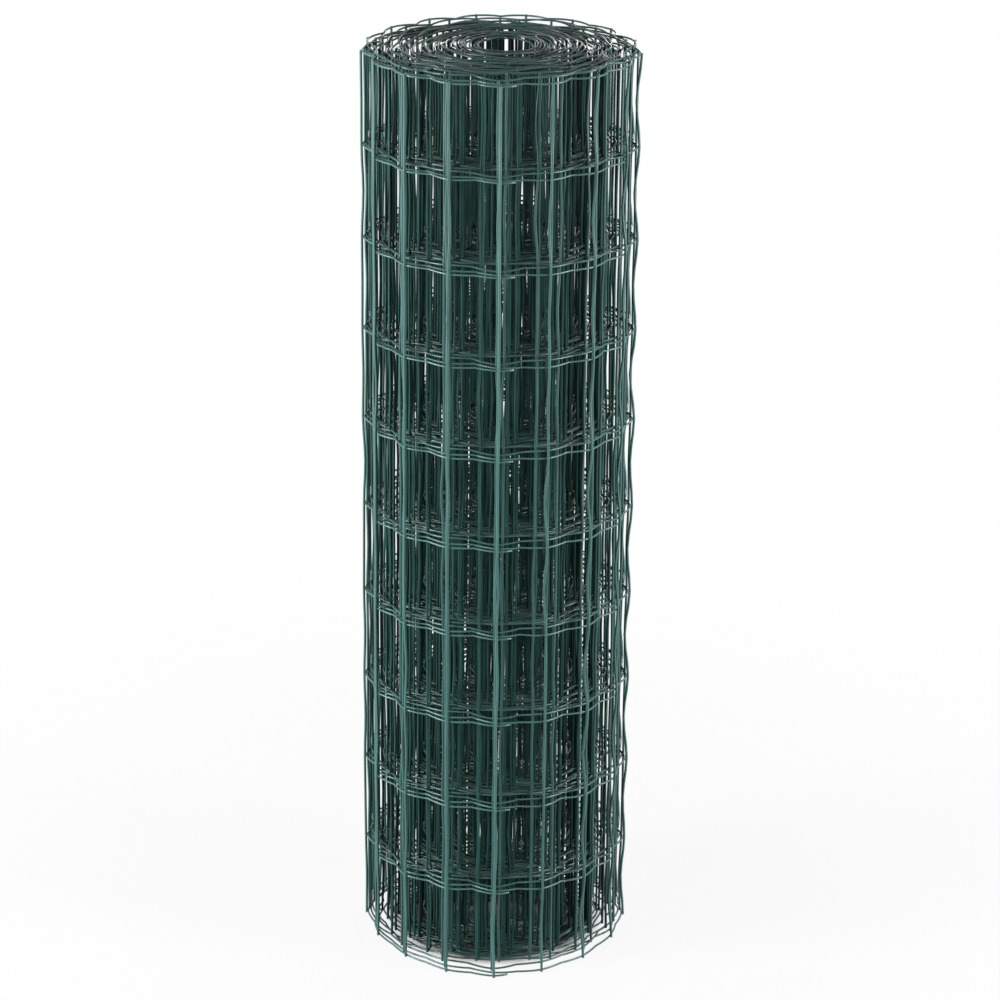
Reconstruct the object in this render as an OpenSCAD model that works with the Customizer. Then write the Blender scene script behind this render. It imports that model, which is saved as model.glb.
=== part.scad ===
// Roll of coated, welded wire fencing that stands on its end.
// The wound sheet is one turned solid with an open core. Its turns stand up as rings on both ends,
// and the coil has slid up a little at the core. The outer turns have sprung away from the tight coil:
// their line wires are closed to a thin disc in each row, and the cross wires of the outermost turn
// stand free in the open bays between the discs.

/* [Mesh] */
// Diameter of the coated line wires, which run along the sheet
line_wire_d = 2.1; // [1.4:0.1:3]
// Diameter of the coated cross wires, which run up the roll
cross_wire_d = 2.8; // [1.6:0.1:4]
// Distance between line wires, up the roll
row_pitch = 100; // [50:5:150]
// Number of bays between the two end line wires
bay_count = 10; // [3:1:20]
// Distance between cross wires, along the sheet
cross_pitch = 53; // [20:1:100]
// Length of the cross wires' cut ends past the end line wires
tip_l = 1; // [0.3:0.1:20]

/* [Roll] */
// Outside diameter, over the cross wires of the outer turn
roll_d = 296; // [220:1:420]
// Diameter of the open core
bore_d = 50; // [30:1:80]
// Number of turns in the tight coil round the core
tight_turns = 24; // [9:1:28]
// Number of outer turns that have sprung away from the tight coil
loose_turns = 5; // [1:1:6]
// Distance between the outer turns, and from the first of them to the tight coil
loose_pitch = 5.5; // [3:0.1:8]
// Height by which the coil has slid up at the core
core_rise = 9; // [0:1:40]
// Direction of the free end of the sheet, in degrees from +X
sheet_end_angle = -90; // [-180:5:180]

/* [Relief] */
// Depth of the gaps between the turns of the tight coil at each end
gap_depth = 12; // [3:1:40]
// Depth of the gaps between the outer turns at each end
rim_gap_depth = 4; // [2:0.5:12]
// Distance that the line wires' discs reach over the outer turn, into its cross wires
disc_reach = 0.5; // [0.2:0.1:0.6]

/* [Hidden] */
$fn = 96;

line_wire_r = line_wire_d / 2;
cross_wire_r = cross_wire_d / 2;
bore_r = bore_d / 2;
turn_h = bay_count * row_pitch + line_wire_d;

// The cross wires are sunk into the side by half their thickness
side_r = roll_d / 2 - cross_wire_r;

// Radii of the turns, at the middle of their wire: the tight coil from the core out, then the outer turns
core_turn_r = bore_r + line_wire_r;
rim_turn_r = side_r - line_wire_r;
tight_rim_r = rim_turn_r - loose_turns * loose_pitch;
tight_pitch = (tight_rim_r - core_turn_r) / (tight_turns - 1);
turn_radii = concat(
    [for (i = [0 : tight_turns - 1]) core_turn_r + i * tight_pitch],
    [for (i = [1 : loose_turns]) tight_rim_r + i * loose_pitch]
);
last_turn = len(turn_radii) - 1;

// Cross wires of the outer turn, set out from the free end of the sheet
cross_step = 360 * cross_pitch / (2 * PI * side_r);
cross_count = floor(360 / cross_step);

// Height by which a turn has slid up, from the full rise at the core to none at the rim
function turn_rise(turn) = core_rise * (1 - turn / last_turn);

// Section of the tight coil: a wall for each turn, and the filled gaps between them, which stop short of
// both ends
module tight_section() {
    for (turn = [0 : tight_turns - 1])
        translate([turn_radii[turn] - line_wire_r, turn_rise(turn)])
            square([line_wire_d, turn_h]);
    for (turn = [0 : tight_turns - 2])
        translate([turn_radii[turn], turn_rise(turn) + gap_depth])
            square([tight_pitch, turn_h - 2 * gap_depth]);
}

// Section of the outer turns at one end: a low wall for each turn on a thin disc
module rim_section() {
    for (turn = [tight_turns : last_turn])
        translate([turn_radii[turn] - line_wire_r, 0])
            square([line_wire_d, rim_gap_depth + line_wire_r]);
    translate([tight_rim_r, rim_gap_depth])
        square([rim_turn_r - tight_rim_r, line_wire_d]);
}

// Section of the wound sheet: the tight coil, the outer turns at both ends, and a disc in each row between
module roll_section() {
    tight_section();
    rim_section();
    translate([0, turn_h])
        mirror([0, 1])
            rim_section();
    for (row = [1 : bay_count - 1])
        translate([tight_rim_r, row * row_pitch])
            square([rim_turn_r + line_wire_r + disc_reach - tight_rim_r, line_wire_d]);
}

// Cross wires of the outer turn, which the roll stands on
module outer_cross_wires() {
    for (i = [0 : cross_count - 1])
        rotate([0, 0, sheet_end_angle - i * cross_step])
            translate([side_r, 0, 0])
                cylinder(h = turn_h + 2 * tip_l, r = cross_wire_r);
}

// The whole roll
module fence_roll() {
    color([0.16, 0.33, 0.27]) {
        translate([0, 0, tip_l])
            rotate_extrude()
                roll_section();
        outer_cross_wires();
    }
}

fence_roll();
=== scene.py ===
"""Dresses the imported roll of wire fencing.

Each line wire and cross wire of the wound sheet, its welds and its cut ends stand where the turned solid
stands, on a pale studio floor. Lengths are in metres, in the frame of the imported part: Z runs up the roll's
axis, and the free end of the sheet lies at the front, towards -Y. The run is the distance along the sheet
from its outermost cross wire inwards.
"""

import logging
import math
from dataclasses import dataclass
from enum import Enum
from functools import cached_property

import bpy
import numpy as np
from mathutils import Euler, Matrix


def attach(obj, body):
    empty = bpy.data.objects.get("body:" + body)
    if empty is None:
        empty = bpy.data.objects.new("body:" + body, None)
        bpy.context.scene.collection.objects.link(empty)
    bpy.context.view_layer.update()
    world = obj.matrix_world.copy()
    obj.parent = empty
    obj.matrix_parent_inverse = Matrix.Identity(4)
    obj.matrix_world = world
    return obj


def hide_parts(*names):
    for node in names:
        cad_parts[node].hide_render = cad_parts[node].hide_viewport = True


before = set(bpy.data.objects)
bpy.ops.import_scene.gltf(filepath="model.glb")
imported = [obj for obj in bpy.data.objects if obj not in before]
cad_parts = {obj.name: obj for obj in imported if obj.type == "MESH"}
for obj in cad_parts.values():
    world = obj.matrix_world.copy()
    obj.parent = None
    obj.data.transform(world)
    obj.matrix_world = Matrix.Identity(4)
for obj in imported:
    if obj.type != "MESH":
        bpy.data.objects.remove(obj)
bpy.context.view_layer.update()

LOG = logging.getLogger("fence_roll")
BODY = "root"
SOLID = "fence_roll"
TONE = "tone"
FULL_TURN = 2 * math.pi
UP = np.array([[0.0, 0.0, 1.0]])
WHITE = (1.0, 1.0, 1.0, 1.0)
# Mean of a noise, which is taken off so that it spreads evenly about nought
NOISE_MEAN = 0.5


class Light(Enum):
    """The lamps of the studio."""

    LEFT = "left_softbox"
    RIGHT = "right_softbox"
    FRONT = "front_fill"
    BACK = "back_fill"


class Value:
    """A number socket of a shader that takes part in Python expressions."""

    def __init__(self, tree: "ShaderTree", socket: bpy.types.NodeSocket) -> None:
        """Wraps a socket of a tree."""
        self.tree = tree
        self.socket = socket

    def _math(self, operation: str, first: "Value | float", second: "Value | float") -> "Value":
        """Adds a Math node and wraps its result."""
        return self.tree.value("ShaderNodeMath", {"operation": operation}, {0: first, 1: second})

    def __add__(self, other: "Value | float") -> "Value":
        """The sum."""
        return self._math("ADD", self, other)

    def __radd__(self, other: float) -> "Value":
        """The sum, reflected."""
        return self._math("ADD", other, self)

    def __sub__(self, other: "Value | float") -> "Value":
        """The difference."""
        return self._math("SUBTRACT", self, other)

    def __rsub__(self, other: float) -> "Value":
        """The difference, reflected."""
        return self._math("SUBTRACT", other, self)

    def __mul__(self, other: "Value | float") -> "Value":
        """The product."""
        return self._math("MULTIPLY", self, other)

    def __rmul__(self, other: float) -> "Value":
        """The product, reflected."""
        return self._math("MULTIPLY", other, self)

    def at_most(self, other: "Value | float") -> "Value":
        """The smaller of the two."""
        return self._math("MINIMUM", self, other)

    def at_least(self, other: "Value | float") -> "Value":
        """The larger of the two."""
        return self._math("MAXIMUM", self, other)

    def as_share(self) -> "Value":
        """The value, kept between 0 and 1."""
        return self.at_least(0.0).at_most(1.0)


class ShaderTree:
    """The nodes of one material or of the world."""

    # Sockets of a Mix node that blends colours, some of which share a name
    MIX_SHARE = 0
    MIX_LOW = 6
    MIX_HIGH = 7
    MIX_COLOUR = 2

    def __init__(self, nodes: bpy.types.NodeTree) -> None:
        """Empties the tree."""
        self.nodes = nodes
        self.nodes.nodes.clear()

    def node(self, kind: str, settings: dict, inputs: dict) -> bpy.types.Node:
        """Adds a node.

        Args:
            kind: The node's type.
            settings: Properties of the node, set first.
            inputs: Values, links or wrapped values, by the socket's name or number.

        Returns:
            The node.
        """
        made = self.nodes.nodes.new(kind)
        for key, setting in settings.items():
            setattr(made, key, setting)
        for key, given in inputs.items():
            if isinstance(given, Value):
                given = given.socket
            if isinstance(given, bpy.types.NodeSocket):
                self.nodes.links.new(given, made.inputs[key])
            else:
                made.inputs[key].default_value = given
        return made

    def value(self, kind: str, settings: dict, inputs: dict, output: str | int = 0) -> Value:
        """Adds a node and wraps one of its number outputs."""
        return Value(self, self.node(kind, settings, inputs).outputs[output])

    def place(self) -> bpy.types.NodeSocket:
        """Adds the place on the piece, in the frame of the part."""
        return self.node("ShaderNodeTexCoord", {}, {}).outputs["Object"]

    def noise(self, place: bpy.types.NodeSocket, scale: float, detail: float) -> Value:
        """Adds a noise of so many features a metre over a place."""
        inputs = {"Vector": place, "Scale": scale, "Detail": detail}
        return self.value("ShaderNodeTexNoise", {}, inputs, "Fac")

    def between(self, share: Value, low: tuple, high: tuple) -> bpy.types.NodeSocket:
        """Blends two colours by the share of the second, each linear red, green, blue and alpha."""
        inputs = {self.MIX_SHARE: share, self.MIX_LOW: low, self.MIX_HIGH: high}
        return self.node("ShaderNodeMix", {"data_type": "RGBA"}, inputs).outputs[self.MIX_COLOUR]

    def surface(self, shader: bpy.types.Node, kind: str = "ShaderNodeOutputMaterial") -> None:
        """Ends the tree in a shader."""
        self.node(kind, {}, {"Surface": shader.outputs[0]})


def new_material(name: str) -> tuple[bpy.types.Material, ShaderTree]:
    """Makes a material with an empty tree.

    Args:
        name: The material's name.

    Returns:
        The material and its tree.
    """
    made = bpy.data.materials.new(name)
    made.use_nodes = True
    return made, ShaderTree(made.node_tree)


def new_object(name: str, data: bpy.types.ID) -> bpy.types.Object:
    """Puts an object into the scene.

    Args:
        name: The object's name.
        data: Its mesh, lamp or camera.

    Returns:
        The object, at the origin.
    """
    made = bpy.data.objects.new(name, data)
    bpy.context.scene.collection.objects.link(made)
    return made


@dataclass(frozen=True)
class PlasticCoat:
    """The fused green plastic on the wires: two greens, mixed by the wire's tone, which paints shade on the
    inner turns, and an uneven gloss.
    """

    # The deep green is the painted shade of the inner turns, the second green the painted light of the outer
    # turn; the cloud also mixes them as random tone.
    deep: tuple = (0.012, 0.042, 0.038, 1.0)
    lighter_green: tuple = (0.042, 0.122, 0.11, 1.0)
    cloud_scale: float = 22.0
    cloud_detail: float = 3.0
    cloud_depth: float = 0.6
    skin_scale: float = 420.0
    skin_detail: float = 2.0
    skin_strength: float = 0.5
    skin_height: float = 0.00012
    gloss_roughness: float = 0.42
    roughness_spread: float = 0.25
    mirror_level: float = 0.4
    refraction: float = 1.5

    def material(self, name: str) -> bpy.types.Material:
        """Makes the coat's material.

        The share of the lighter green is the wire's tone, a painted shade that darkens the inner turns with a
        little random tone, plus a cloud noise centred on nought.
        Roughness rises with the cloud and with a finer noise, and the same fine noise is the skin's bump.

        Args:
            name: The material's name.

        Returns:
            The material.
        """
        made, tree = new_material(name)
        place = tree.place()
        tone = tree.value("ShaderNodeAttribute", {"attribute_name": TONE}, {}, "Fac")
        cloud = tree.noise(place, self.cloud_scale, self.cloud_detail) - NOISE_MEAN
        skin = tree.noise(place, self.skin_scale, self.skin_detail)
        # The tone paints the inner turns darker as shade; the cloud is random tone.
        share = (tone + self.cloud_depth * cloud).as_share()
        bump = tree.node("ShaderNodeBump", {}, {
            "Height": skin,
            "Strength": self.skin_strength,
            "Distance": self.skin_height,
        })
        coat = tree.node("ShaderNodeBsdfPrincipled", {}, {
            "Base Color": tree.between(share, self.deep, self.lighter_green),
            "Roughness": self.gloss_roughness + self.roughness_spread * ((skin - NOISE_MEAN) + cloud),
            "Normal": bump.outputs[0],
            "IOR": self.refraction,
            "Specular IOR Level": self.mirror_level,
        })
        tree.surface(coat)
        return made


@dataclass(frozen=True)
class CutSteel:
    """Bare steel at the cut ends of the wires: bright where the cutter sheared it, duller in spots."""

    bright: tuple = (0.62, 0.62, 0.6, 1.0)
    dull: tuple = (0.3, 0.3, 0.29, 1.0)
    spot_scale: float = 900.0
    spot_detail: float = 2.0
    metal: float = 0.85
    bright_roughness: float = 0.3
    roughness_spread: float = 0.3

    def material(self, name: str) -> bpy.types.Material:
        """Makes the steel's material: a spot noise runs from bright and smooth to dull and rough.

        Args:
            name: The material's name.

        Returns:
            The material.
        """
        made, tree = new_material(name)
        spots = tree.noise(tree.place(), self.spot_scale, self.spot_detail)
        steel = tree.node("ShaderNodeBsdfPrincipled", {}, {
            "Base Color": tree.between(spots, self.bright, self.dull),
            "Metallic": self.metal,
            "Roughness": self.bright_roughness + self.roughness_spread * spots,
        })
        tree.surface(steel)
        return made


@dataclass
class Surface:
    """A mesh as whole arrays: points, four-sided faces, end faces and one tone for each point."""

    points: np.ndarray
    quads: np.ndarray
    ends: np.ndarray
    tones: np.ndarray

    def piece(self, name: str, material: bpy.types.Material, coated: bool = True) -> bpy.types.Object:
        """Makes the Blender object.

        Args:
            name: The piece's name.
            material: Its finish.
            coated: Whether the finish is the record's coating. It is not used.

        Returns:
            The object, at the origin, riding on the roll and standing for the turned solid.
        """
        mesh = bpy.data.meshes.new(name)
        mesh.vertices.add(len(self.points))
        mesh.vertices.foreach_set("co", self.points.astype(np.float32).ravel())
        corners = np.concatenate([self.quads.ravel(), self.ends.ravel()])
        mesh.loops.add(len(corners))
        mesh.loops.foreach_set("vertex_index", corners.astype(np.int32))
        starts = np.concatenate([
            np.arange(len(self.quads)) * self.quads.shape[1],
            np.arange(len(self.ends)) * self.ends.shape[1] + self.quads.size,
        ])
        mesh.polygons.add(len(starts))
        mesh.polygons.foreach_set("loop_start", starts.astype(np.int32))
        mesh.polygons.foreach_set("use_smooth", np.arange(len(starts)) < len(self.quads))
        mesh.update(calc_edges=True)
        tones = mesh.attributes.new(TONE, "FLOAT", "POINT")
        tones.data.foreach_set("value", self.tones.astype(np.float32))
        mesh.materials.append(material)
        made = new_object(name, mesh)
        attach(made, BODY)
        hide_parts(SOLID)
        LOG.info("%s: %d points, %d faces", name, len(self.points), len(starts))
        return made


def unit(vectors: np.ndarray) -> np.ndarray:
    """The vectors, each divided by its length."""
    return vectors / np.linalg.norm(vectors, axis=-1, keepdims=True)


def away_from_axis(angle: np.ndarray) -> np.ndarray:
    """Level directions away from the roll's axis, at angles from +X."""
    return np.stack([np.cos(angle), np.sin(angle), np.zeros_like(angle)], axis=-1)


def round_axis(angle: np.ndarray) -> np.ndarray:
    """Level directions round the roll's axis, a quarter turn on from those away from it."""
    return np.stack([-np.sin(angle), np.cos(angle), np.zeros_like(angle)], axis=-1)


def swept_rods(paths: np.ndarray, radius: float, sides: int, up: np.ndarray, tones: np.ndarray) -> Surface:
    """Carries a round profile along many paths at once, with flat ends.

    A point is the path's point plus the radius times the cosine of the profile's angle across the path and
    its sine along the up direction made square to the path.

    Args:
        paths: Points, as rods by points by three.
        radius: Half the rod's thickness.
        sides: Points round the profile.
        up: A direction across the rods, one in all or one for each rod.
        tones: One tone for each rod, or for each point of each rod.

    Returns:
        The rods as one surface.
    """
    rods, points = paths.shape[:2]
    along = unit(np.gradient(paths, axis=1))
    up = np.broadcast_to(np.reshape(up, (-1, 1, 3)), paths.shape)
    across = unit(np.cross(along, up))
    square = np.cross(across, along)
    angle = np.linspace(0, FULL_TURN, sides, endpoint=False)[:, None]
    rings = np.cos(angle) * across[:, :, None, :] + np.sin(angle) * square[:, :, None, :]
    verts = paths[:, :, None, :] + radius * rings
    index = np.arange(rods * points * sides).reshape(rods, points, sides)
    onward = np.roll(index, -1, axis=2)
    quads = np.stack([index[:, :-1], index[:, 1:], onward[:, 1:], onward[:, :-1]], axis=-1)
    ends = np.concatenate([index[:, 0], index[:, -1, ::-1]])
    spread = np.repeat(np.broadcast_to(np.reshape(tones, (rods, -1)), (rods, points)), sides)
    return Surface(verts.reshape(-1, 3), quads.reshape(-1, 4), ends, spread)


def beads(
    centres: np.ndarray, axes: np.ndarray, sides: int, bands: int, pole: float, tones: np.ndarray
) -> Surface:
    """Makes many small egg shapes at once.

    A point is the centre plus the three half axes weighted by the sphere's latitude and longitude. The two
    poles are small closed rings.

    Args:
        centres: Bead centres, as beads by three.
        axes: Half axes, as beads by three axes by three.
        sides: Points round a bead.
        bands: Bands from ring to ring.
        pole: Angle from a pole to its ring.
        tones: One tone for each bead.

    Returns:
        The beads as one surface.
    """
    count = len(centres)
    latitude = np.linspace(pole - math.pi / 2, math.pi / 2 - pole, bands + 1)
    longitude = np.linspace(0, FULL_TURN, sides, endpoint=False)
    lat, lon = np.meshgrid(latitude, longitude, indexing="ij")
    ball = np.stack([np.cos(lat) * np.cos(lon), np.cos(lat) * np.sin(lon), np.sin(lat)], axis=-1)
    verts = centres[:, None, None, :] + np.einsum("abk,nkc->nabc", ball, axes)
    index = np.arange(count * (bands + 1) * sides).reshape(count, bands + 1, sides)
    onward = np.roll(index, -1, axis=2)
    quads = np.stack([index[:, :-1], onward[:, :-1], onward[:, 1:], index[:, 1:]], axis=-1)
    ends = np.concatenate([index[:, 0, ::-1], index[:, -1]])
    spread = np.repeat(tones, (bands + 1) * sides)
    return Surface(verts.reshape(-1, 3), quads.reshape(-1, 4), ends, spread)


@dataclass(frozen=True)
class FenceSheet:
    """The welded sheet before it is rolled up."""

    bay_height: float = 0.1
    bays_up: int = 10
    cross_pitch: float = 0.053
    bays_along: int = 289
    line_wire: float = 0.0021
    cross_wire: float = 0.0028
    tip: float = 0.0002
    outer_tail: float = 0.015
    inner_tail: float = 0.008
    weld_bite: float = 0.0008

    @property
    def length(self) -> float:
        """From the first cross wire to the last."""
        return self.cross_pitch * self.bays_along

    @property
    def rows(self) -> np.ndarray:
        """Heights of the line wires where the sheet stands on its cut ends."""
        return self.tip + self.line_wire / 2 + self.bay_height * np.arange(self.bays_up + 1)

    @property
    def cross_runs(self) -> np.ndarray:
        """Runs of the cross wires."""
        return self.cross_pitch * np.arange(self.bays_along + 1)

    @property
    def stand_off(self) -> float:
        """From a line wire's middle out to the middle of the cross wire welded to it."""
        return (self.line_wire + self.cross_wire) / 2 - self.weld_bite


@dataclass(frozen=True)
class Winding:
    """How the sheet lies in the roll. Turns are counted from the free end inwards.

    Tuples that go together, such as flat_radii and flat_shares, are places and the values there, and what
    lies between two places is read off evenly.
    """

    sheet: FenceSheet
    seed: int = 33
    free_end: float = -math.pi / 2
    # Radii of the loose turns, and the dense coil from the last of them to the core
    loose_turns: tuple = (0.0, 0.85, 0.97, 1.03, 2.0, 3.0, 4.0, 5.0)
    loose_radii: tuple = (0.1439, 0.1433, 0.1413, 0.1404, 0.13934, 0.13565, 0.13432, 0.12508)
    core_radius: float = 0.0278
    pitch_spread: float = 0.074
    length_samples: int = 2000
    table_samples: int = 8000
    spare_turns: float = 0.2
    # Flattening from front to back
    flat_radii: tuple = (0.028, 0.08, 0.126, 0.133, 0.1365, 0.139, 0.1404, 0.1413)
    flat_shares: tuple = (0.02, 0.085, 0.158, 0.188, 0.171, 0.104, 0.058, 0.0)
    lean_radii: tuple = (0.126, 0.133)
    row_lean: float = 0.4
    even_row: float = 0.4
    ease_radii: tuple = (0.1365, 0.139)
    back_ease: float = 0.5
    # Shift to one side, and the bend of the flanks over the floor
    shift_radii: tuple = (0.028, 0.08, 0.12, 0.135, 0.1413)
    shifts: tuple = (0.0035, 0.001, -0.0015, -0.0005, 0.0)
    foot_bend: float = 0.016
    bent_rows: float = 3.0
    # Slide up the roll
    core_rise: float = 0.0075
    top_rise: float = 0.0088
    climb: float = 0.0028
    climb_turns: tuple = (0.0, 0.25, 0.55, 1.0)
    climb_shares: tuple = (0.0, 1.0, 1.0, 0.0)
    lift: float = 0.0022
    lift_swing: float = 2.0
    lift_lengths: tuple = (0.47, 0.29, 0.19, 0.083)
    lift_from: tuple = (0.9, 2.0)
    settled_turns: float = 3.0
    lift_shares: tuple = (0.0, 1.0, 1.0, 0.4)
    # Turns drawn together, and the sway of the sheet and of each row
    bunch_depth: float = 0.0003
    bunch_length: float = 0.028
    bunch_swing: float = 2.0
    bunch_twin_swing: float = 1.3
    bunch_radii: tuple = (0.028, 0.04, 0.117, 0.126)
    bunch_shares: tuple = (0.0, 1.0, 1.0, 0.0)
    sway: float = 0.0007
    row_sway: float = 0.0008
    sway_limit: float = 0.0004
    sway_lengths: tuple = (0.83, 0.41, 0.23, 0.137)
    # Painted light and shade: the share of the lighter green falls from the outer turn inwards, so the inner
    # turns are darker
    shade_turns: tuple = (0.0, 1.0, 2.5, 6.0)
    painted_light_shares: tuple = (0.9, 0.75, 0.45, 0.12)

    def _flat(self, radius: np.ndarray) -> np.ndarray:
        """Share by which a turn of that radius is flattened from front to back."""
        return np.interp(radius, self.flat_radii, self.flat_shares)

    def _mean_length(self, radius: np.ndarray) -> float:
        """Mean length of flattened turns: a full turn of the radius less half its flat share."""
        return FULL_TURN * float(np.mean(radius * (1 - self._flat(radius) / 2)))

    def _dense_radius(self, part: np.ndarray) -> np.ndarray:
        """Radius in the dense coil, from its rim at 0 to the core at 1, with a pitch that grows inwards."""
        depth = self.loose_radii[-1] - self.core_radius
        return self.loose_radii[-1] - depth * part * (1 - self.pitch_spread * (1 - part) / 2)

    @cached_property
    def dense_turns(self) -> float:
        """Turns in the dense coil.

        They are the length that the loose turns leave, over the mean length of a turn in the dense coil.

        Returns:
            The number of turns.
        """
        turns = np.linspace(0, self.loose_turns[-1], self.length_samples)
        loose = self._mean_length(np.interp(turns, self.loose_turns, self.loose_radii))
        dense = self._mean_length(self._dense_radius(np.linspace(0, 1, self.length_samples)))
        return (self.sheet.length - self.loose_turns[-1] * loose) / dense

    @property
    def total_turns(self) -> float:
        """From the free end to the core."""
        return self.loose_turns[-1] + self.dense_turns

    def radius(self, turn: np.ndarray) -> np.ndarray:
        """Distance of a line wire's middle from the axis, before the coil is flattened.

        Args:
            turn: Turns from the free end.

        Returns:
            The radii, with the same shape.
        """
        part = (turn - self.loose_turns[-1]) / self.dense_turns
        loose = np.interp(turn, self.loose_turns, self.loose_radii)
        return np.where(part > 0, self._dense_radius(part), loose)

    @cached_property
    def _run_table(self) -> tuple[np.ndarray, np.ndarray]:
        """The run to each turn: the radius less half its flat share, summed over the angle.

        Returns:
            Turns on a fine grid, and the runs to them.
        """
        turns = np.linspace(0, self.total_turns + self.spare_turns, self.table_samples)
        radius = self.radius(turns)
        radius = radius * (1 - self._flat(radius) / 2)
        steps = FULL_TURN * np.diff(turns) * (radius[1:] + radius[:-1]) / 2
        return turns, np.concatenate([[0.0], np.cumsum(steps)])

    def turns(self, run: np.ndarray) -> np.ndarray:
        """Turns at a run. Ahead of the first cross wire the tails go on round the rim.

        Args:
            run: Distances along the sheet.

        Returns:
            Turns from the free end, with the same shape.
        """
        turns, runs = self._run_table
        ahead = np.minimum(run, 0.0) / (FULL_TURN * self.loose_radii[0])
        return np.interp(run, runs, turns) + ahead

    def angle(self, turn: np.ndarray) -> np.ndarray:
        """Angle from +X at so many turns from the free end."""
        return self.free_end - FULL_TURN * turn

    def tone(self, run: np.ndarray) -> np.ndarray:
        """Share of the lighter green there, as painted light and shade: most on the outer turn, less on the
        shaded inner turns.
        """
        return np.interp(self.turns(run), self.shade_turns, self.painted_light_shares)

    @property
    def _all_rows(self) -> int:
        """Number of the waves that all rows share, after those of the rows."""
        return self.sheet.bays_up + 1

    def _waves(self, run: np.ndarray, row: np.ndarray | int, lengths: tuple) -> np.ndarray:
        """A slow sway along the sheet: the mean of sines of some lengths, with phases for each row.

        Args:
            run: Distances along the sheet.
            row: Numbers of the line wires, or the number that all rows share.
            lengths: Lengths of the waves.

        Returns:
            Values from -1 to 1, with the same shape as the run.
        """
        rng = np.random.default_rng(self.seed)
        phases = rng.uniform(0, FULL_TURN, (self._all_rows + 1, len(lengths)))
        turn = FULL_TURN * run[..., None] / np.array(lengths)
        return np.sin(turn + phases[row]).mean(axis=-1)

    def rise(self, run: np.ndarray) -> np.ndarray:
        """Height by which the coil has slid up.

        It grows evenly towards the core. The outer turn climbs behind the front, and inside it a lift comes
        and goes along the sheet. It is never below the floor.

        Args:
            run: Distances along the sheet.

        Returns:
            The heights, with the same shape.
        """
        turn = self.turns(run)
        lift = self.lift * (1 + self.lift_swing * self._waves(run, self._all_rows, self.lift_lengths))
        lift_turns = (*self.lift_from, self.total_turns - self.settled_turns, self.total_turns)
        wander = lift * np.interp(turn, lift_turns, self.lift_shares)
        wander = wander + self.climb * np.interp(turn, self.climb_turns, self.climb_shares)
        even = (self.core_rise - self.lift) * np.clip(turn / self.total_turns, 0, 1)
        return np.clip(even + wander, 0, self.top_rise)

    def _bunches(self, radius: np.ndarray, angle: np.ndarray) -> np.ndarray:
        """How far turns of the dense coil are drawn together.

        It is a sine of the radius whose phase goes round with the angle. It fades out at the rim and at
        the core.

        Args:
            radius: Distances from the axis.
            angle: Angles round it.

        Returns:
            The outward moves, with the same shape.
        """
        fade = np.interp(radius, self.bunch_radii, self.bunch_shares)
        phase = FULL_TURN * radius / self.bunch_length + self.bunch_swing * np.cos(angle)
        phase = phase + self.bunch_twin_swing * np.sin(2 * angle)
        return self.bunch_depth * fade * np.sin(phase)

    def _squeeze(self, radius: np.ndarray, angle: np.ndarray, row: np.ndarray) -> np.ndarray:
        """Share by which the coil is flattened at a place.

        It is the turn's flat share, more so towards the top of the loose turns and less so at the back of
        the second one.

        Args:
            radius: Distances from the axis.
            angle: Angles round it.
            row: Numbers of the line wires.

        Returns:
            The shares, with the same shape.
        """
        loose = np.interp(radius, self.lean_radii, (0.0, 1.0))
        flat = self._flat(radius) * (1 + self.row_lean * loose * (row / self.sheet.bays_up - self.even_row))
        behind = np.clip(np.sin(angle), 0, 1) * np.interp(radius, self.ease_radii, (0.0, 1.0))
        return flat * (1 - self.back_ease * behind)

    def _bend(self, aside: np.ndarray, row: np.ndarray) -> np.ndarray:
        """How far the flanks are bent back over the floor, by the square of their distance aside."""
        low = np.clip(1 - row / self.bent_rows, 0, 1)
        return self.foot_bend * low ** 2 * (aside / self.loose_radii[0]) ** 2

    def place(self, run: np.ndarray, row: np.ndarray, inward: np.ndarray, outward: float) -> np.ndarray:
        """Places on the wound sheet.

        The radius falls with the turns, plus the bunches and a sway of the sheet and of each row. The coil
        is flattened from front to back, stands a little to one side, is bent back at its foot, and has slid
        up.

        Args:
            run: Distances along the sheet.
            row: Numbers of the line wires.
            inward: How far the wire is pushed in there.
            outward: How far out from the line wires' middle.

        Returns:
            Points, with the same shape as the run and a last axis of three.
        """
        turn = self.turns(run)
        angle = self.angle(turn)
        sway = self.sway * self._waves(run, self._all_rows, self.sway_lengths)
        sway = sway + self.row_sway * self._waves(run, row, self.sway_lengths)
        sway = np.minimum(sway, self.sway_limit)
        middle = self.radius(turn)
        radius = middle + self._bunches(middle, angle) + sway + outward - inward
        x = radius * np.cos(angle) + np.interp(middle, self.shift_radii, self.shifts)
        y = radius * np.sin(angle) * (1 - self._squeeze(middle, angle, row)) + self._bend(x, row)
        return np.stack([x, y, self.sheet.rows[row] + self.rise(run)], axis=-1)


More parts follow.
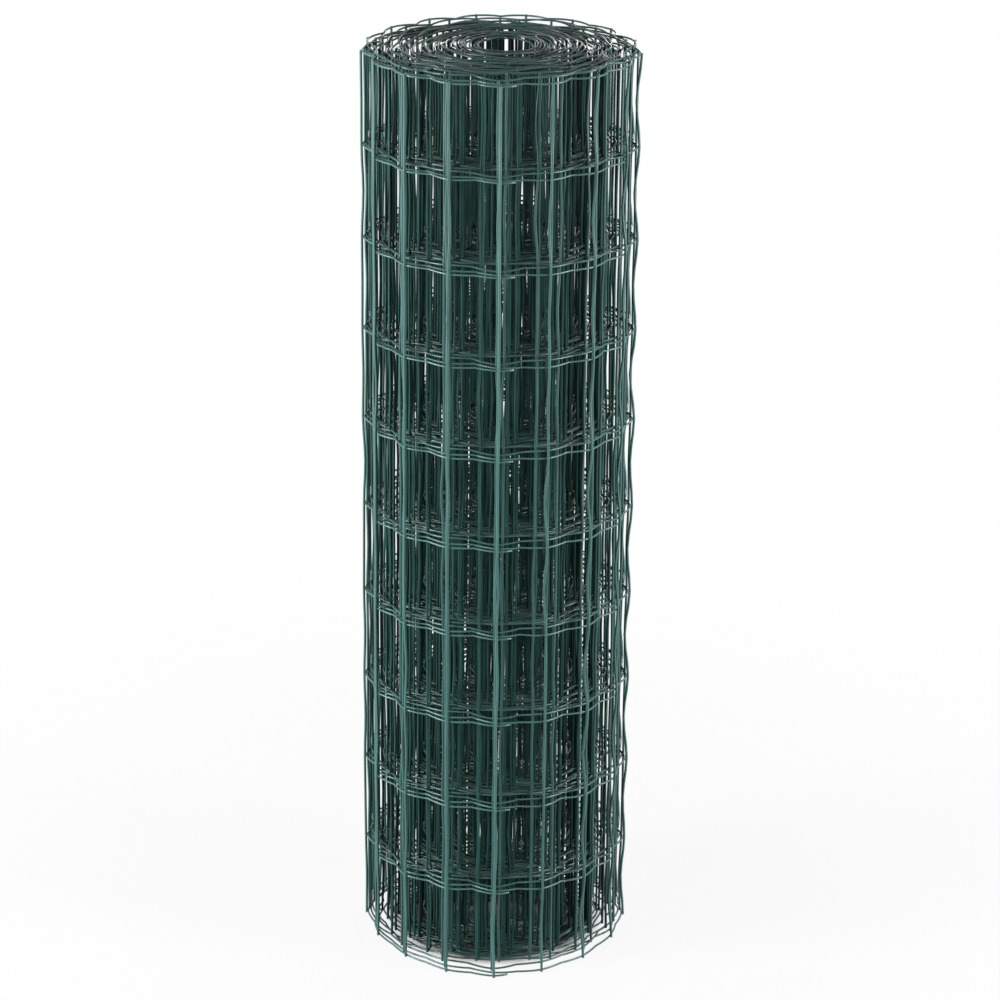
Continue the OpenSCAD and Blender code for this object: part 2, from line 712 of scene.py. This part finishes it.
@dataclass
class LineWires:
    """The eleven wires that run the length of the sheet, kinked in each bay."""

    winding: Winding
    coat: bpy.types.Material
    seed: int = 23
    steps: int = 8
    outer_tail_steps: int = 3
    inner_tail_steps: int = 2
    sides: int = 8
    kink_turns: tuple = (0.0, 1.0, 3.0, 6.0, 22.0, 28.0)
    kink_depths: tuple = (0.0068, 0.0066, 0.0058, 0.0042, 0.003, 0.0008)
    kink_spread: float = 0.38
    kink_power: float = 1.3
    free_turns: tuple = (1.5, 3.0)
    top_kink: float = 1.25
    top_power: float = 2.1
    foot_kink: float = 0.5
    tail_bend: float = 0.003
    tail_power: float = 1.5
    tone_spread: float = 0.1

    def kinks(self, run: np.ndarray, row: np.ndarray) -> np.ndarray:
        """How far in the kinks push a line wire.

        Each bay has one depth. The push is that depth times a power of the distance to the nearer cross
        wire, so the wire is round at the cross wires and comes to a point in the middle of the bay. On the
        loose turns the top wire is kinked more and the foot wire less. The tails bend in towards their cut
        ends.

        Args:
            run: Distances along the sheet.
            row: Numbers of the line wires.

        Returns:
            The inward push, with the same shape as the run.
        """
        sheet = self.winding.sheet
        rng = np.random.default_rng(self.seed)
        uneven = 1 + self.kink_spread * rng.uniform(-1, 1, (sheet.bays_up + 1, sheet.bays_along + 2))
        bay = np.clip(np.floor(run / sheet.cross_pitch).astype(int) + 1, 0, sheet.bays_along + 1)
        part = np.mod(run / sheet.cross_pitch, 1.0)
        nearness = 1 - np.abs(2 * part - 1)
        turn = self.winding.turns(run)
        depth = np.interp(turn, self.kink_turns, self.kink_depths) * uneven[row, bay]
        loose = np.interp(turn, self.free_turns, (1.0, 0.0))
        top = loose * (row == sheet.bays_up)
        foot = loose * (row == 0)
        power = self.kink_power + (self.top_power - self.kink_power) * top
        depth = depth * (1 + (self.top_kink - 1) * top + (self.foot_kink - 1) * foot)
        tail = self.tail_bend * np.clip(-run / sheet.outer_tail, 0, 1) ** self.tail_power
        return np.where((run >= 0) & (run <= sheet.length), depth * nearness ** power, tail)

    def runs(self) -> np.ndarray:
        """Sets out the points of a wire.

        Returns:
            Their runs, tails included.
        """
        sheet = self.winding.sheet
        run = np.linspace(0, sheet.length, sheet.bays_along * self.steps + 1)
        outer = np.linspace(-sheet.outer_tail, 0, self.outer_tail_steps + 1)[:-1]
        inner = sheet.length + np.linspace(0, sheet.inner_tail, self.inner_tail_steps + 1)[1:]
        return np.concatenate([outer, run, inner])

    def paths(self) -> np.ndarray:
        """Middle lines of the wires, as rows by points by three."""
        row, run = np.meshgrid(np.arange(self.winding.sheet.bays_up + 1), self.runs(), indexing="ij")
        return self.winding.place(run, row, self.kinks(run, row), 0.0)

    def build(self) -> list[bpy.types.Object]:
        """Makes one piece for each line wire.

        Returns:
            The pieces, from the bottom up.
        """
        sheet = self.winding.sheet
        rng = np.random.default_rng(self.seed + 1)
        uneven = rng.uniform(-self.tone_spread, self.tone_spread, (sheet.bays_up + 1, 1))
        # The tone holds the painted shade of the inner turns, plus a random spread for each wire.
        tones = self.winding.tone(self.runs()) + uneven
        made = []
        for row, path in enumerate(self.paths()):
            rods = swept_rods(path[None], sheet.line_wire / 2, self.sides, UP, tones[row])
            made.append(rods.piece(f"line_wire_{row + 1:02d}", self.coat))
        return made


@dataclass
class CrossWires:
    """The wires that stand up the roll, welded outside the line wires."""

    winding: Winding
    coat: bpy.types.Material
    dull_coat: bpy.types.Material
    seed: int = 37
    steps: int = 6
    outer_sides: int = 10
    inner_sides: int = 6
    outer_turns: float = 4.0
    bowed_turns: tuple = (0.9, 1.3)
    left_bow: float = 0.0006
    right_bow: float = 0.004
    side_share: float = 0.5
    side_swing: float = 0.75
    inner_bow: float = 0.0006
    bow_spread: float = 0.0006
    lean: float = 0.001
    head_share: float = 0.25
    tone_spread: float = 0.2

    def paths(self) -> np.ndarray:
        """Middle lines of the wires.

        Between two line wires a cross wire bows inwards by a squared sine, more on the right of the outer
        turn, and sideways by a random share of the lean.

        Returns:
            Points, as wires by points by three.
        """
        sheet = self.winding.sheet
        rng = np.random.default_rng(self.seed)
        count = sheet.bays_along + 1
        height = np.arange(sheet.bays_up * self.steps + 1) / self.steps
        low = np.minimum(height.astype(int), sheet.bays_up - 1)
        part = height - low
        run, low = np.meshgrid(sheet.cross_runs, low, indexing="ij")
        turn = self.winding.turns(run)
        angle = self.winding.angle(turn)
        rightness = np.clip(self.side_share + self.side_swing * np.cos(angle), 0, 1)
        outer_bow = self.left_bow + (self.right_bow - self.left_bow) * rightness
        outer = np.interp(turn, self.bowed_turns, (1.0, 0.0))
        bow = outer * (outer_bow - self.inner_bow) + self.inner_bow
        uneven = rng.normal(0, self.bow_spread, (count, sheet.bays_up))
        swell = np.sin(math.pi * part) ** 2
        bow = np.maximum(bow + np.take_along_axis(uneven, low, axis=1), 0) * swell
        below = self.winding.place(run, low, bow, sheet.stand_off)
        above = self.winding.place(run, low + 1, bow, sheet.stand_off)
        paths = below + (above - below) * part[None, :, None]
        leaning = np.take_along_axis(rng.normal(0, self.lean, (count, sheet.bays_up)), low, axis=1)
        paths = paths + round_axis(angle) * (leaning * swell)[..., None]
        foot = UP * (sheet.line_wire / 2 + sheet.tip)
        head = UP * (sheet.line_wire * self.head_share)
        return np.concatenate([paths[:, :1] - foot, paths, paths[:, -1:] + head], axis=1)

    def build(self) -> list[bpy.types.Object]:
        """Makes the cross wires of the loose turns and those of the dense coil.

        Returns:
            The two pieces.
        """
        sheet = self.winding.sheet
        paths = self.paths()
        turn = self.winding.turns(sheet.cross_runs)
        out = away_from_axis(self.winding.angle(turn))
        rng = np.random.default_rng(self.seed + 1)
        uneven = rng.uniform(-self.tone_spread, self.tone_spread, len(turn))
        # The tone holds the painted shade of the inner turns, plus a random spread for each wire.
        tones = self.winding.tone(sheet.cross_runs) + uneven
        made = []
        outer = turn < self.outer_turns
        for name, picked, sides, coat in (
            ("outer_cross_wires", outer, self.outer_sides, self.coat),
            ("inner_cross_wires", ~outer, self.inner_sides, self.dull_coat),
        ):
            rods = swept_rods(paths[picked], sheet.cross_wire / 2, sides, out[picked], tones[picked])
            made.append(rods.piece(name, coat))
        return made


@dataclass
class Welds:
    """The plastic that fills each crossing of a line wire and a cross wire."""

    winding: Winding
    coat: bpy.types.Material
    half_width: float = 0.0019
    half_height: float = 0.0012
    half_depth: float = 0.0019
    sides: int = 6
    bands: int = 3
    pole: float = 0.25

    def build(self) -> bpy.types.Object:
        """Makes the beads as one piece, each between its two wires, turned to face out.

        Returns:
            The piece.
        """
        sheet = self.winding.sheet
        run, row = np.meshgrid(sheet.cross_runs, np.arange(sheet.bays_up + 1), indexing="ij")
        centres = self.winding.place(run, row, np.zeros_like(run), sheet.stand_off / 2)
        angle = self.winding.angle(self.winding.turns(run)).ravel()
        out = away_from_axis(angle) * self.half_depth
        side = round_axis(angle) * self.half_width
        up = np.broadcast_to(UP * self.half_height, out.shape)
        axes = np.stack([out, side, up], axis=1)
        # The tone holds the painted shade of the inner turns.
        tones = self.winding.tone(run).ravel()
        made = beads(centres.reshape(-1, 3), axes, self.sides, self.bands, self.pole, tones)
        return made.piece("weld_beads", self.coat)


@dataclass
class CutEnds:
    """The bare steel cores that show where the cutter sheared the line wires."""

    lines: LineWires
    steel: bpy.types.Material
    core: float = 0.0016
    proud: float = 0.0006
    sunk: float = 0.0012
    sides: int = 8
    tone: float = 0.5

    def build(self) -> bpy.types.Object:
        """Makes both ends of each line wire as one piece: a short rod that goes on from its last step.

        Returns:
            The piece.
        """
        paths = self.lines.paths()
        tips = np.concatenate([paths[:, 0], paths[:, -1]])
        onward = unit(np.concatenate([paths[:, 0] - paths[:, 1], paths[:, -1] - paths[:, -2]]))
        stations = np.array([-self.sunk, 0.0, self.proud])
        rods = tips[:, None] + onward[:, None] * stations[:, None]
        made = swept_rods(rods, self.core / 2, self.sides, UP, np.full(len(rods), self.tone))
        return made.piece("cut_ends", self.steel, coated=False)


@dataclass(frozen=True)
class Softbox:
    """A square lamp: where it hangs, the point it faces, its width, and its power in watts."""

    which: Light
    place: tuple
    target: tuple
    width: float
    power: float

    def build(self) -> None:
        """Hangs the lamp, tilted and turned so that it faces its target."""
        data = bpy.data.lights.new(self.which.value, "AREA")
        data.size = self.width
        data.energy = self.power
        made = new_object(self.which.value, data)
        away = np.array(self.place) - np.array(self.target)
        turn = math.atan2(away[0], -away[1])
        tilt = math.atan2(math.hypot(away[0], away[1]), away[2])
        made.location = self.place
        made.rotation_euler = (tilt, 0.0, turn)


@dataclass
class Studio:
    """The floor, the lamps, the white surround and the camera."""

    floor_half: float = 30.0
    # Grey to rays that carry light, and to the camera the painted shadow under the roll
    bounce_and_painted_shadow_grey: tuple = (0.2, 0.2, 0.2, 1.0)
    seen_colour: tuple = (0.5, 0.5, 0.5, 1.0)
    near_glow: float = 0.9
    # Radii from the axis over which the painted shadow under the roll gives way to the glow
    painted_shadow_edge: float = 0.098
    painted_shadow_end: float = 0.122
    white_from: float = 0.35
    white_full: float = 1.1
    world_strength: float = 0.03
    camera_distance: float = 3.7718
    camera_height: float = 1.9684
    camera_aside: float = 0.0049
    camera_pitch: float = 21.22
    camera_yaw: float = 0.04
    camera_roll: float = 0.48
    lens: float = 134.75
    sensor: float = 36.0
    lamps: tuple = (
        Softbox(Light.LEFT, (-2.3, -0.8, 1.1), (0.0, 0.0, 0.6), 0.8, 138.0),
        Softbox(Light.RIGHT, (2.3, -0.8, 1.0), (0.0, 0.0, 0.6), 0.8, 106.0),
        Softbox(Light.FRONT, (-0.4, -2.6, 2.6), (0.0, 0.0, 0.7), 1.0, 6.0),
        Softbox(Light.BACK, (0.5, 2.6, 0.9), (0.0, 0.0, 0.5), 1.0, 32.0),
    )

    def floor(self) -> bpy.types.Object:
        """Lays the floor.

        Where it is seen, away from under the roll, it is pale and mostly its own white, which keeps a faint
        shadow beside the roll, and farther off it is white. Under the roll it is a painted shadow: no glow
        and a darker grey. Its own light falls on nothing.

        Returns:
            The floor.
        """
        half = self.floor_half
        corners = [(-half, -half, 0), (half, -half, 0), (half, half, 0), (-half, half, 0)]
        mesh = bpy.data.meshes.new("studio_floor")
        mesh.from_pydata(corners, [], [(0, 1, 2, 3)])
        made = new_object("studio_floor", mesh)
        paint, tree = new_material("floor_paint")
        glow = tree.node("ShaderNodeEmission", {}, {"Color": WHITE, "Strength": 1.0})
        away = tree.value("ShaderNodeVectorMath", {"operation": "LENGTH"}, {0: tree.place()}, "Value")
        # clear is nought under the roll, which paints a shadow there: no glow and the darker grey
        clear = self._seen(tree) * self._ramp(away, self.painted_shadow_edge, self.painted_shadow_end)
        far = self._ramp(away, self.white_from, self.white_full)
        share = clear * (self.near_glow + (1 - self.near_glow) * far)
        colour = tree.between(clear, self.bounce_and_painted_shadow_grey, self.seen_colour)
        matt = tree.node("ShaderNodeBsdfDiffuse", {}, {"Color": colour})
        shaders = {0: share, 1: matt.outputs[0], 2: glow.outputs[0]}
        tree.surface(tree.node("ShaderNodeMixShader", {}, shaders))
        mesh.materials.append(paint)
        return made

    def _ramp(self, away: Value, low: float, high: float) -> Value:
        """Rises evenly from nought at the low distance to one at the high one."""
        return ((away - low) * (1 / (high - low))).as_share()

    def _seen(self, tree: ShaderTree) -> Value:
        """Tells rays that look at a surface from those that only carry its light.

        Args:
            tree: The tree of the surface.

        Returns:
            One for rays from the camera, mirrored rays and rays through glass, and nought for the others.
        """
        path = tree.node("ShaderNodeLightPath", {}, {})
        seen = Value(tree, path.outputs["Is Camera Ray"]) + Value(tree, path.outputs["Is Glossy Ray"])
        return (seen + Value(tree, path.outputs["Is Transmission Ray"])).at_most(1.0)

    def surround(self) -> None:
        """Sets the world: white where it is seen, and a softer light on the roll."""
        world = bpy.data.worlds.new("studio_surround")
        bpy.context.scene.world = world
        world.use_nodes = True
        tree = ShaderTree(world.node_tree)
        strength = self.world_strength + (1 - self.world_strength) * self._seen(tree)
        white = tree.node("ShaderNodeBackground", {}, {"Color": WHITE, "Strength": strength})
        tree.surface(white, "ShaderNodeOutputWorld")

    def camera(self) -> None:
        """Stands the camera at the photograph's place, pitched down to the roll and rolled a little."""
        data = bpy.data.cameras.new("studio_camera")
        data.sensor_fit = "HORIZONTAL"
        data.sensor_width = self.sensor
        data.lens = self.lens
        made = new_object("studio_camera", data)
        made.location = (self.camera_aside, -self.camera_distance, self.camera_height)
        facing = Euler((math.radians(90 - self.camera_pitch), 0.0, math.radians(self.camera_yaw)))
        roll = Matrix.Rotation(math.radians(self.camera_roll), 3, "Z")
        made.rotation_euler = (facing.to_matrix() @ roll).to_euler()
        bpy.context.scene.camera = made

    def build(self) -> None:
        """Sets up the whole studio."""
        bpy.context.scene.view_settings.view_transform = "Standard"
        self.floor()
        self.surround()
        for lamp in self.lamps:
            lamp.build()
        self.camera()


def main() -> None:
    """Builds the roll and the studio."""
    logging.basicConfig(level=logging.INFO, format="%(name)s: %(message)s")
    Studio().build()
    coat = PlasticCoat().material("green_plastic_coat")
    dull_coat = PlasticCoat(mirror_level=0.12).material("green_plastic_dull")
    bright_coat = PlasticCoat(gloss_roughness=0.36, mirror_level=0.48).material("green_plastic_bright")
    winding = Winding(FenceSheet())
    LOG.info("the sheet of %.2f m makes %.1f turns", winding.sheet.length, winding.total_turns)
    lines = LineWires(winding, bright_coat)
    lines.build()
    CrossWires(winding, coat, dull_coat).build()
    Welds(winding, coat).build()
    CutEnds(lines, CutSteel().material("cut_steel")).build()


if __name__ == "__main__":
    main()
